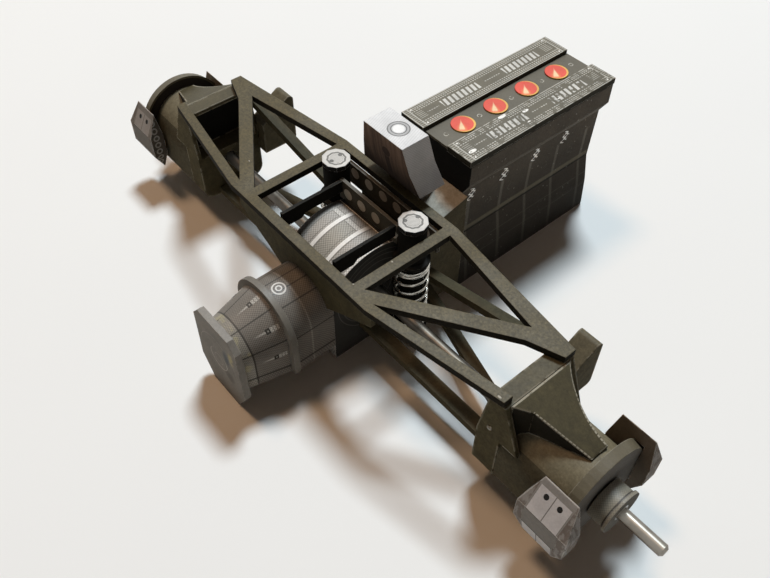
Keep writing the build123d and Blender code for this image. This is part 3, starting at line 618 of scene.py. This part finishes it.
bar_edges = both(tree, rule(tree, along, (0.24, 0.9), 0.1), between(tree, across, (-3.2, 0.96)))
panel = both(
    tree, between(tree, across, (-1.12, 0.96)), add(tree, "Math", along, 0.24, operation="LESS_THAN")
)
crown = add(tree, "Math", up, 11.0, operation="GREATER_THAN")
on_end = either(tree, facing(tree, (1, 0, 0), 0.8), facing(tree, (-1, 0, 0), 0.8))
colour = printed(
    tree,
    linear("#a39f98"),
    ("#8f8b80", panel, 0.7),
    ("#6a665f", either(tree, shadows, outlines, bar_edges), crown, 0.7),
    ("#c3c0b9", bar, crown, 0.75),
)
knit = add(tree, "Mix", sockets={0: either(tree, both(tree, bands, crown), on_end), 2: knit, 3: 1.0})
colour = layer(tree, colour, linear("#ece9e3"), bands, crown)
# Painted shade: darker towards the left end.
painted_end_shade = add(tree, "MapRange", across, -3.75, -3.3, 1.0, 0.0, **SMOOTH)
colour = layer(tree, colour, linear("#35302b"), painted_end_shade, 0.9)
# Painted shade: blotchy dark brown on the crown towards the front wall.
painted_wall_shade = both(
    tree,
    add(tree, "MapRange", along, 0.4, 2.0, **SMOOTH),
    crown,
    blotches(tree, place, 0.9, (0.25, 0.75), (1.0, 0.6)),
)
colour = printed(
    tree, colour,
    ("#3a2e24", painted_wall_shade, 0.85),
    ("#d8d5ce", between(tree, along, (1.93, 2.06)), crown, 0.9),
    ("#1b1815", add(tree, "Math", along, 2.06, operation="GREATER_THAN"), crown),
)
ring_sheet = add(tree, "CombineXYZ", along, up)
arcs = either(tree, *[circle_line(tree, ring_sheet, (0.2, AXLE_Z), r, 0.12) for r in (5.3, 4.7, 3.9, 2.2)])
end_print = layer(tree, linear("#34322e"), linear("#5f5c56"), arcs, 0.6)
colour = layer(tree, colour, end_print, on_end)
rough_rim = add(
    tree, "Math",
    add(tree, "TexNoise", place, sockets={"Scale": 1.3, "Detail": 3.0, "Roughness": 0.5}),
    0.5, 3.62, operation="MULTIPLY_ADD",
)
on_crown = both(tree, crown, add(tree, "Math", 1.0, on_end, operation="SUBTRACT"))
torn_rim = both(
    tree,
    add(tree, "Math", across, rough_rim, operation="GREATER_THAN"),
    on_crown,
    between(tree, along, (-3.9, 1.2)),
)
colour = layer(tree, colour, linear("#e4e1da"), torn_rim, 0.9)
card_finish(
    tree, place, colour, "#d3d0c8", rough=0.5, grain=0.07, tone=knit, wear=0.85, fold=0.13, cover=0.36
)
dress(material, "casing")

# ---------------------------------------------------------------- gearbox
# Grey-brown woven print rolled into a barrel: dark panel lines, printed bolts and a pale roundel.
BARREL_Z, BARREL_R, BARREL_PANELS = 7.6, 4.3, 7
material, tree, place = begin("gearbox_halftone_print")
parts = add(tree, "SeparateXYZ", place)
across, along, up = parts.outputs[0], parts.outputs[1], parts.outputs[2]
height = add(tree, "Math", up, BARREL_Z, operation="SUBTRACT")
angle = add(tree, "Math", height, across, operation="ARCTAN2")
arc = add(tree, "Math", angle, BARREL_R, operation="MULTIPLY")
knit = weave(tree, arc, along, 0.32, 0.44)
apart = add(tree, "Math", add(tree, "Math", across, operation="ABSOLUTE"), height, operation="ARCTAN2")
turns = add(tree, "Math", apart, BARREL_PANELS / (2 * math.pi), operation="MULTIPLY")
on_tail = add(tree, "Math", along, -11.7, operation="LESS_THAN")
on_barrel = add(tree, "Math", along, -11.0, operation="GREATER_THAN")
tail_lines = both(tree, soft_rule(tree, turns, (0.5, 1.5, 2.5, 3.5), 0.05), on_tail)
barrel_lines = both(tree, soft_rule(tree, turns, (0.195, 0.64, 1.67, 2.57), 0.045), on_barrel)
panel_line = either(tree, tail_lines, barrel_lines)
bolt_off = add(tree, "Math", turns, 0.5, operation="PINGPONG")
plates = both(
    tree, add(tree, "Math", bolt_off, 0.075, operation="LESS_THAN"), between(tree, along, (-12.9, -11.95))
)
plate_gaps = both(tree, plates, rule(tree, along, (-12.2, -12.55), 0.08))
heads = both(
    tree, add(tree, "Math", bolt_off, 0.085, operation="LESS_THAN"), between(tree, along, (-13.4, -12.9))
)
pips = both(
    tree, add(tree, "Math", bolt_off, 0.03, operation="LESS_THAN"), between(tree, along, (-13.22, -13.06))
)
fade = add(tree, "MapRange", along, -15.0, -13.5, **SMOOTH)
streaks = both(
    tree,
    add(tree, "Math", bolt_off, 0.03, operation="LESS_THAN"),
    between(tree, along, (-15.0, -13.42)),
    fade,
)
hoops = soft_rule(tree, along, (-15.52,), 0.2)
rim_strip = add(tree, "Math", along, -15.6, operation="LESS_THAN")
seam = soft_rule(tree, along, (-8.7,), 0.22)
colour = printed(
    tree,
    linear("#6f6961"),
    ("#8d887e", rim_strip, 0.8),
    ("#a59f94", seam, 0.45),
    ("#b5b1a8", plates, 0.8),
    ("#57524c", plate_gaps, 0.7),
    ("#bab6ad", streaks, 0.8),
    ("#24211d", heads, 0.9),
    ("#8a867e", pips, 0.9),
    ("#2b2823", panel_line, 0.85),
    ("#2f2c27", hoops, 0.85),
)
glue = both(tree, rim_strip, blotches(tree, place, 0.8, (0.5, 0.62)))
colour = layer(tree, colour, linear("#a79f80"), glue, 0.6)
cap = add(tree, "CombineXYZ", across, along)
ROUNDEL = (0.43, -9.75)
rings = either(tree, circle_line(tree, cap, ROUNDEL, 0.7, 0.17), circle_line(tree, cap, ROUNDEL, 0.3, 0.15))
rings = both(tree, rings, add(tree, "Math", up, 9.0, operation="GREATER_THAN"))
knit = add(tree, "Mix", sockets={0: rings, 2: knit, 3: 1.0})
colour = layer(tree, colour, linear("#d9d6d0"), rings)
card_finish(tree, place, colour, "#a9a59d", rough=0.5, grain=0.07, tone=knit, wear=0.5)
dress(material, "gearbox_barrel", "gearbox_tail")

# Bolting flange between barrel and tail: plain grey print, darker on its forward face.
material, tree, place = begin("flange_grey_print")
colour = layer(tree, linear("#736e65"), linear("#5f5a51"), facing(tree, (0, 1, 0)))
card_finish(tree, place, colour, "#98938a", rough=0.5, wear=0.7)
dress(material, "flange_ring")

# End plate: smooth grey-brown print with a faint ring, dried smears of glue and a painted bluish reflection.
SMEAR_SQUASH = 0.42
PLATE_MIDDLE = (-0.1, 6.0)
material, tree, place = begin("end_plate_print")
parts = add(tree, "SeparateXYZ", place)
across, up = parts.outputs[0], parts.outputs[2]
sheet = add(tree, "CombineXYZ", across, up)
low_half = add(tree, "MapRange", up, 6.2, 7.2, 1.0, 0.15, **SMOOTH)
ring = both(tree, circle_line(tree, sheet, PLATE_MIDDLE, 1.5, 0.12), low_half)
small = circle_line(tree, sheet, PLATE_MIDDLE, 0.75, 0.1)
wide = both(
    tree, circle_line(tree, sheet, PLATE_MIDDLE, 3.3, 0.1), add(tree, "MapRange", up, 6.0, 7.0, **SMOOTH)
)
stretched = add(tree, "VectorMath", sheet, (1.0, SMEAR_SQUASH, 1.0), operation="MULTIPLY")
near = add(
    tree, "VectorMath", stretched, (2.75, 8.7 * SMEAR_SQUASH, 0), operation="DISTANCE"
).outputs["Value"]
yellow = both(
    tree,
    add(tree, "MapRange", near, 0.15, 0.6, 1.0, 0.0, **SMOOTH),
    blotches(tree, place, 1.6, (0.3, 0.55), detail=3.0),
)
# Painted reflection: a soft bluish patch on the plate.
near_reflection = add(
    tree, "VectorMath", stretched, (1.7, 7.9 * SMEAR_SQUASH, 0), operation="DISTANCE"
).outputs["Value"]
painted_reflection = add(tree, "MapRange", near_reflection, 0.2, 0.75, 1.0, 0.0, **SMOOTH)
near_low = add(tree, "VectorMath", sheet, (1.6, 4.6, 0), operation="DISTANCE").outputs["Value"]
stain = add(tree, "MapRange", near_low, 0.3, 1.3, 1.0, 0.0, **SMOOTH)
colour = printed(
    tree,
    linear("#7f7a72"),
    ("#bab6ad", either(tree, ring, both(tree, small, 0.35), both(tree, wide, 0.35)), 0.8),
    ("#4b5358", painted_reflection, 0.7),
    ("#514d47", stain, 0.6),
    ("#b9ae7c", yellow, 0.75),
)
card_finish(tree, place, colour, "#b5b1a8", rough=0.42, grain=0.12, wear=0.8)
dress(material, "end_plate")

# ---------------------------------------------------------------- calipers
# Grey printed card: a pale two-part panel with dark bolt holes, a brown band, a paler foot,
# streaked corners and, on the narrow inner side, a column of printed rings.
# The left calipers take darker copies of the right's tints: painted shade.
CALIPER_TINTS = {
    "left": ("#7c7771", "#97928d", "#87827b", "#6d6861"),
    "right": ("#8f8b86", "#c8c5c4", "#c3c0bd", "#7f7b75"),
}
for s, side in SIDES:
    for t, end in ((-1, "rear"), (1, "front")):
        box = [[v / MM for v in corner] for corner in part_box(f"caliper_{end}_{side}")]
        middle = (box[0][0] + box[1][0]) / 2 - 0.1 * s
        head = box[1][2] - 0.75
        material, tree, place = begin(f"caliper_print_{end}_{side}")
        parts = add(tree, "SeparateXYZ", place)
        off = add(tree, "Math", parts.outputs[0], middle, operation="SUBTRACT")
        away = add(tree, "Math", off, operation="ABSOLUTE")
        up = parts.outputs[2]
        sheet = add(tree, "CombineXYZ", off, up)
        outward = facing(tree, (0, t, 0), 0.3)
        inward = facing(tree, (0, -t, 0), 0.3)
        within = add(tree, "Math", away, 1.74, operation="LESS_THAN")
        panel = both(tree, within, between(tree, up, (8.9, head)))
        band = both(tree, add(tree, "Math", away, 2.0, operation="LESS_THAN"), between(tree, up, (6.3, 8.9)))
        foot = both(tree, within, add(tree, "Math", up, 6.3, operation="LESS_THAN"))
        holes = either(
            tree, dot(tree, sheet, (-0.77, head - 0.6), 0.27), dot(tree, sheet, (0.77, head - 0.6), 0.27)
        )
        split = both(tree, add(tree, "Math", away, 0.05, operation="LESS_THAN"), either(tree, panel, foot))
        frames = either(
            tree,
            both(
                tree, rule(tree, up, (8.84, 6.3), 0.13), add(tree, "Math", away, 1.8, operation="LESS_THAN")
            ),
            both(tree, rule(tree, away, (1.78,), 0.1), either(tree, panel, foot)),
        )
        blots = add(
            tree, "TexNoise",
            add(tree, "VectorMath", place, (1.2, 1.2, 0.5), operation="MULTIPLY"),
            sockets={"Scale": 1.3, "Detail": 3.0, "Roughness": 0.6},
        )
        corner = both(
            tree,
            add(tree, "Math", away, 1.9, operation="GREATER_THAN"),
            add(tree, "MapRange", blots, 0.44, 0.56, **SMOOTH),
        )
        level = add(
            tree, "Math", add(tree, "Math", up, 1.02, operation="FLOORED_MODULO"), 0.51, operation="SUBTRACT"
        )
        depth = add(
            tree, "Math", parts.outputs[1], (box[0][1] + box[1][1]) / 2 + 0.1 * t, operation="SUBTRACT"
        )
        beads = circle_line(tree, add(tree, "CombineXYZ", depth, level), (0, 0), 0.34, 0.2)
        bead_side = facing(tree, (-s, 0, 0), 0.75)
        tints = CALIPER_TINTS[side]
        colour = printed(
            tree,
            linear(tints[0]),
            (tints[1], panel, outward),
            (tints[2], foot, outward),
            (tints[3], band, outward),
            ("#5a4b3f", corner, 0.6),
            ("#453f38", frames, outward, 0.85),
            ("#55504a", split, outward, 0.75),
            ("#15120f", holes, outward),
            ("#4a443c", bead_side, 0.9),
            ("#9a968f", beads, bead_side, 0.85),
            ("#6c6153", inward, 0.9),
        )
        card_finish(tree, place, colour, "#dedbd4", rough=0.5, grain=0.08, wear=0.8, fold=0.16, cover=0.38)
        dress(material, f"caliper_{end}_{side}")

# ---------------------------------------------------------------- hub noses
# Card rolled round the stub axle: fine grey halftone, a dark line near the lip and a paper-pale lip.
for s, side in SIDES:
    material, tree, place = begin(f"hub_nose_halftone_{side}")
    parts = add(tree, "SeparateXYZ", place)
    out = add(tree, "Math", parts.outputs[0], operation="ABSOLUTE")
    around = add(
        tree, "Math",
        add(tree, "Math", parts.outputs[2], AXLE_Z, operation="SUBTRACT"),
        parts.outputs[1],
        operation="ARCTAN2",
    )
    knit = weave(tree, add(tree, "Math", around, 2.35, operation="MULTIPLY"), out, 0.3, 0.2)
    colour = printed(
        tree,
        linear("#7e796c"),
        ("#35322d", soft_rule(tree, out, (38.0,), 0.24)),
        ("#5a564e", facing(tree, (s, 0, 0), 0.9)),
    )
    card_finish(tree, place, colour, "#a8a49a", rough=0.5, tone=knit, wear=0.6)
    dress(material, f"hub_nose_{side}")

# ---------------------------------------------------------------- damper caps
# White printed discs: scalloped grey double ring, hatched middle with two notches, black cut edges.
CAP_X, CAP_Y = 6.25, 3.3
NOTCHES = {"left": ((-0.22, 0.69), (-0.01, -0.65)), "right": ((-0.17, 0.8), (-0.6, -0.54))}
for s, side in SIDES:
    material, tree, place = begin(f"damper_cap_print_{side}")
    parts = add(tree, "SeparateXYZ", place)
    cx, cy = s * CAP_X, CAP_Y
    sheet = add(tree, "CombineXYZ", parts.outputs[0], parts.outputs[1])
    local = add(tree, "VectorMath", sheet, (cx, cy, 0), operation="SUBTRACT")
    ends = add(tree, "SeparateXYZ", local)
    far = add(tree, "VectorMath", local, operation="LENGTH").outputs["Value"]
    swing = add(tree, "Math", ends.outputs[1], ends.outputs[0], operation="ARCTAN2")
    lobes = add(tree, "Math", add(tree, "Math", swing, 10.0, operation="MULTIPLY"), operation="SINE")
    edge = add(tree, "Math", lobes, 0.03, far, operation="MULTIPLY_ADD")
    top = facing(tree, (0, 0, 1))
    ring = between(tree, edge, (0.86, 1.08))
    hair = between(tree, edge, (0.70, 0.76))
    core = add(tree, "Math", far, 0.70, operation="LESS_THAN")
    slope = add(tree, "Math", ends.outputs[0], ends.outputs[1], operation="SUBTRACT")
    fine = dashed(tree, slope, 0.25, 0.5)
    notches = either(tree, *[dot(tree, local, (x, y), 0.24) for x, y in NOTCHES[side]])
    colour = printed(
        tree,
        linear("#cfccc6"),
        ("#55524c", either(tree, ring, both(tree, hair, 0.6)), 0.85),
        ("#8f8c86", core, fine, 0.7),
        ("#4b4842", notches, 0.85),
    )
    colour = layer(tree, linear("#14110f"), colour, top)
    card_finish(tree, place, colour, "#e4e2dc", rough=0.5, grain=0.06, wear=0.4)
    dress(material, f"damper_cap_{side}")

# ---------------------------------------------------------------- steel
# Drawn steel rod: clean metal with fine lines along the rod and brown handling marks; the shafts
# inside the car are duller than the bare axle pins and painted darker, as painted shade under the car.
for name, clean, dull, least in (
    ("stub_axle", "#8b867e", "#645d51", 0.28), ("driveshaft", "#5e5952", "#403a32", 0.4)
):
    material, tree, place = begin(f"drawn_steel_{name}")
    pull = add(
        tree, "TexNoise",
        add(tree, "VectorMath", place, (0.15, 9.0, 9.0), operation="MULTIPLY"),
        sockets={"Scale": 1.0, "Detail": 3.0, "Roughness": 0.5},
    )
    stain = add(tree, "TexNoise", place, sockets={"Scale": 0.6, "Detail": 2.0, "Roughness": 0.5})
    colour = layer(tree, linear(clean), linear(dull), add(tree, "MapRange", stain, 0.45, 0.75, 0.0, 0.6))
    rough = add(tree, "MapRange", pull, 0.3, 0.7, least, least + 0.12)
    bump = add(tree, "Bump", sockets={"Strength": 0.1, "Distance": 0.005 * MM, "Height": pull})
    shader = add(
        tree, "BsdfPrincipled",
        sockets={"Base Color": colour, "Metallic": 1.0, "Roughness": rough, "Normal": bump},
    )
    add(tree, "OutputMaterial", shader)
    dress_sides(material, name)

# Bright wound spring wire: the same steel, smoother, darker in patches.
material, tree, place = begin("spring_steel_wire")
dark_patches = add(tree, "TexNoise", place, sockets={"Scale": 0.9, "Detail": 3.0, "Roughness": 0.5})
colour = layer(tree, linear("#c6c2ba"), linear("#6b6457"), add(tree, "MapRange", dark_patches, 0.45, 0.7, 0.0, 0.7))
rough = add(tree, "MapRange", dark_patches, 0.3, 0.7, 0.18, 0.3)
shader = add(tree, "BsdfPrincipled", sockets={"Base Color": colour, "Metallic": 1.0, "Roughness": rough})
add(tree, "OutputMaterial", shader)
wire_steel = material


# ---------------------------------------------------------------- coil springs
SMOOTH_UNDER = 40
WIRE_R = 0.19 * MM
WIRE_SIDES = 10
COIL_STEPS = 28
# The coil's middle line lies this far inside the CAD spring's box.
COIL_INSET = 0.18 * MM
CLOSED_PITCH = 2.2 * WIRE_R
END_ROOM = 1.15 * WIRE_R
OPEN_TURNS = 6
WELD = 0.002 * MM


def settle(piece, body, material):
    """Bake the piece's place into its mesh, round its shading and put it on its body."""
    bpy.ops.object.select_all(action="DESELECT")
    piece.select_set(True)
    bpy.context.view_layer.objects.active = piece
    bpy.ops.object.transform_apply(location=True, rotation=True, scale=True)
    bpy.ops.object.shade_smooth_by_angle(angle=math.radians(SMOOTH_UNDER))
    piece.data.materials.clear()
    piece.data.materials.append(material)
    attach(piece, body)


def coil_run(foot, pitch, turns, coil_r, wire_r, cx, cy):
    """Screw a ring of wire upwards for whole turns about the damper's axis."""
    bpy.ops.object.select_all(action="DESELECT")
    bpy.ops.mesh.primitive_circle_add(vertices=WIRE_SIDES, radius=wire_r, location=(0, 0, 0))
    ring = bpy.context.active_object
    bpy.ops.object.mode_set(mode="EDIT")
    bpy.ops.mesh.select_all(action="SELECT")
    bpy.ops.transform.rotate(value=math.pi / 2, orient_axis="X", center_override=(0, 0, 0))
    bpy.ops.transform.translate(value=(0, -coil_r, 0))
    bpy.ops.transform.rotate(value=math.pi / 2, orient_axis="Z", center_override=(0, -coil_r, 0))
    bpy.ops.object.mode_set(mode="OBJECT")
    screw = ring.modifiers.new("wind", "SCREW")
    screw.axis = "Z"
    screw.angle = 2 * math.pi
    screw.screw_offset = pitch
    screw.iterations = turns
    screw.steps = COIL_STEPS
    screw.render_steps = COIL_STEPS
    screw.use_merge_vertices = False
    bpy.ops.object.modifier_apply(modifier="wind")
    ring.location = (cx, cy, foot)
    return ring


for s, side in SIDES:
    low, high = [Vector(corner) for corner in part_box(f"spring_{side}")]
    cx, cy = (low.x + high.x) / 2, (low.y + high.y) / 2
    coil_r = (high.x - low.x) / 2 - COIL_INSET
    foot = low.z + END_ROOM
    head = high.z - END_ROOM
    open_pitch = (head - foot - 3 * CLOSED_PITCH) / OPEN_TURNS
    runs = [coil_run(foot, CLOSED_PITCH, 1, coil_r, WIRE_R, cx, cy)]
    runs.append(coil_run(foot + CLOSED_PITCH, open_pitch, OPEN_TURNS, coil_r, WIRE_R, cx, cy))
    runs.append(coil_run(head - 2 * CLOSED_PITCH, CLOSED_PITCH, 2, coil_r, WIRE_R, cx, cy))
    bpy.ops.object.select_all(action="DESELECT")
    for run in runs:
        run.select_set(True)
    bpy.context.view_layer.objects.active = runs[0]
    bpy.ops.object.join()
    coil = bpy.context.active_object
    coil.name = coil.data.name = f"coil_{side}"
    bpy.ops.object.mode_set(mode="EDIT")
    bpy.ops.mesh.select_all(action="SELECT")
    bpy.ops.mesh.remove_doubles(threshold=WELD)
    bpy.ops.mesh.select_all(action="DESELECT")
    bpy.ops.mesh.select_non_manifold()
    bpy.ops.mesh.edge_face_add()
    bpy.ops.mesh.select_all(action="SELECT")
    bpy.ops.mesh.normals_make_consistent(inside=False)
    bpy.ops.object.mode_set(mode="OBJECT")
    settle(coil, "model", wire_steel)
    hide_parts(f"spring_{side}")

# ---------------------------------------------------------------- small hand-work
# Dried beads of clear glue and torn paper fluff where the card was joined.
material, tree, place = begin("dried_glue_and_paper_fluff")
fluff = add(tree, "TexNoise", place, sockets={"Scale": 5.0, "Detail": 3.0, "Roughness": 0.5})
colour = layer(tree, linear("#b3ad9f"), linear("#787161"), add(tree, "MapRange", fluff, 0.35, 0.65, 0.0, 1.0))
shader = add(tree, "BsdfPrincipled", sockets={"Base Color": colour, "Roughness": 0.55})
add(tree, "OutputMaterial", shader)
# Each bead: middle x, y, z and half lengths, in mm.
BEADS = (
    (25.74, -4.37, 10.96, 0.3, 0.12, 0.26),
    (25.9, -4.36, 11.25, 0.14, 0.08, 0.12),
    (26.1, -4.3, 16.42, 0.3, 0.16, 0.12),
    (24.66, 7.0, 12.92, 0.16, 0.14, 0.14),
    (-13.13, -3.53, 16.5, 0.14, 0.09, 0.06),
    (8.29, -1.2, 16.5, 0.16, 0.12, 0.07),
    (8.12, -5.96, 16.5, 0.13, 0.1, 0.06),
)
for number, (x, y, z, long, wide, high) in enumerate(BEADS):
    bpy.ops.object.select_all(action="DESELECT")
    bpy.ops.mesh.primitive_uv_sphere_add(
        segments=14, ring_count=9, radius=1.0, location=(x * MM, y * MM, z * MM)
    )
    bead = bpy.context.active_object
    bead.scale = (long * MM, wide * MM, high * MM)
    bead.name = bead.data.name = f"glue_bead_{number}"
    settle(bead, "model", material)

# ---------------------------------------------------------------- floor, light and camera
bpy.ops.object.select_all(action="DESELECT")
bpy.ops.mesh.primitive_plane_add(size=2.0, location=(0, 0, -0.02 * MM))
floor = bpy.context.active_object
floor.name = "table_top"
material, tree, place = begin("white_paper_table")
cloud = add(tree, "TexNoise", place, sockets={"Scale": 0.02, "Detail": 2.0})
colour = layer(tree, linear("#f1f1ee"), linear("#ececea"), cloud)
shader = add(tree, "BsdfPrincipled", sockets={"Base Color": colour, "Roughness": 0.8})
add(tree, "OutputMaterial", shader)
floor.data.materials.append(material)

world = bpy.data.worlds.new("soft_room")
bpy.context.scene.world = world
world.use_nodes = True
tree = world.node_tree
tree.nodes.clear()
path = add(tree, "LightPath")
room = add(tree, "Background", linear("#ffd3b1"), 0.05)
plain = add(tree, "Background", linear("#f2f3f1"), 1.0)
shown = either(
    tree, path.outputs["Is Camera Ray"], path.outputs["Is Transmission Ray"], path.outputs["Is Glossy Ray"]
)
mixed = add(tree, "MixShader", shown, room, plain)
add(tree, "OutputWorld", mixed)


def lamp(name, place, aim, size, watts, colour):
    """A round soft light that looks at the aim point."""
    light = bpy.data.lights.new(name, "AREA")
    light.shape = "DISK"
    light.size = size
    light.energy = watts
    light.color = linear(colour)[:3]
    holder = bpy.data.objects.new(name, light)
    holder.location = place
    holder.rotation_euler = (Vector(aim) - Vector(place)).to_track_quat("-Z", "Y").to_euler()
    bpy.context.scene.collection.objects.link(holder)


# Cool daylight from high on the far side and a weaker warm lamp: place and size in metres, then watts.
LAMP_AIM = (0, 0, 0.005)
lamp("window_light", (-0.262, 0.345, 0.922), LAMP_AIM, 0.225, 9.70, "#e8f6ff")
lamp("room_lamp", (-0.357, -0.092, 0.93), LAMP_AIM, 0.21, 2.55, "#ffcfa3")

# The viewing angle: place in mm, turn in degrees, and lens and sensor in mm.
VIEW_PLACE = (48.51, -36.95, 75.81)
VIEW_TURN = (40.304, -0.518, 49.682)
LENS, SENSOR = 38.05, 36.0
lens = bpy.data.cameras.new("view")
lens.sensor_width = SENSOR
lens.lens = LENS
lens.clip_start = 0.001
camera = bpy.data.objects.new("view", lens)
camera.location = [v * MM for v in VIEW_PLACE]
camera.rotation_euler = [math.radians(a) for a in VIEW_TURN]
bpy.context.scene.collection.objects.link(camera)
bpy.context.scene.camera = camera
bpy.context.scene.view_settings.view_transform = "Standard"

bpy.context.view_layer.update()
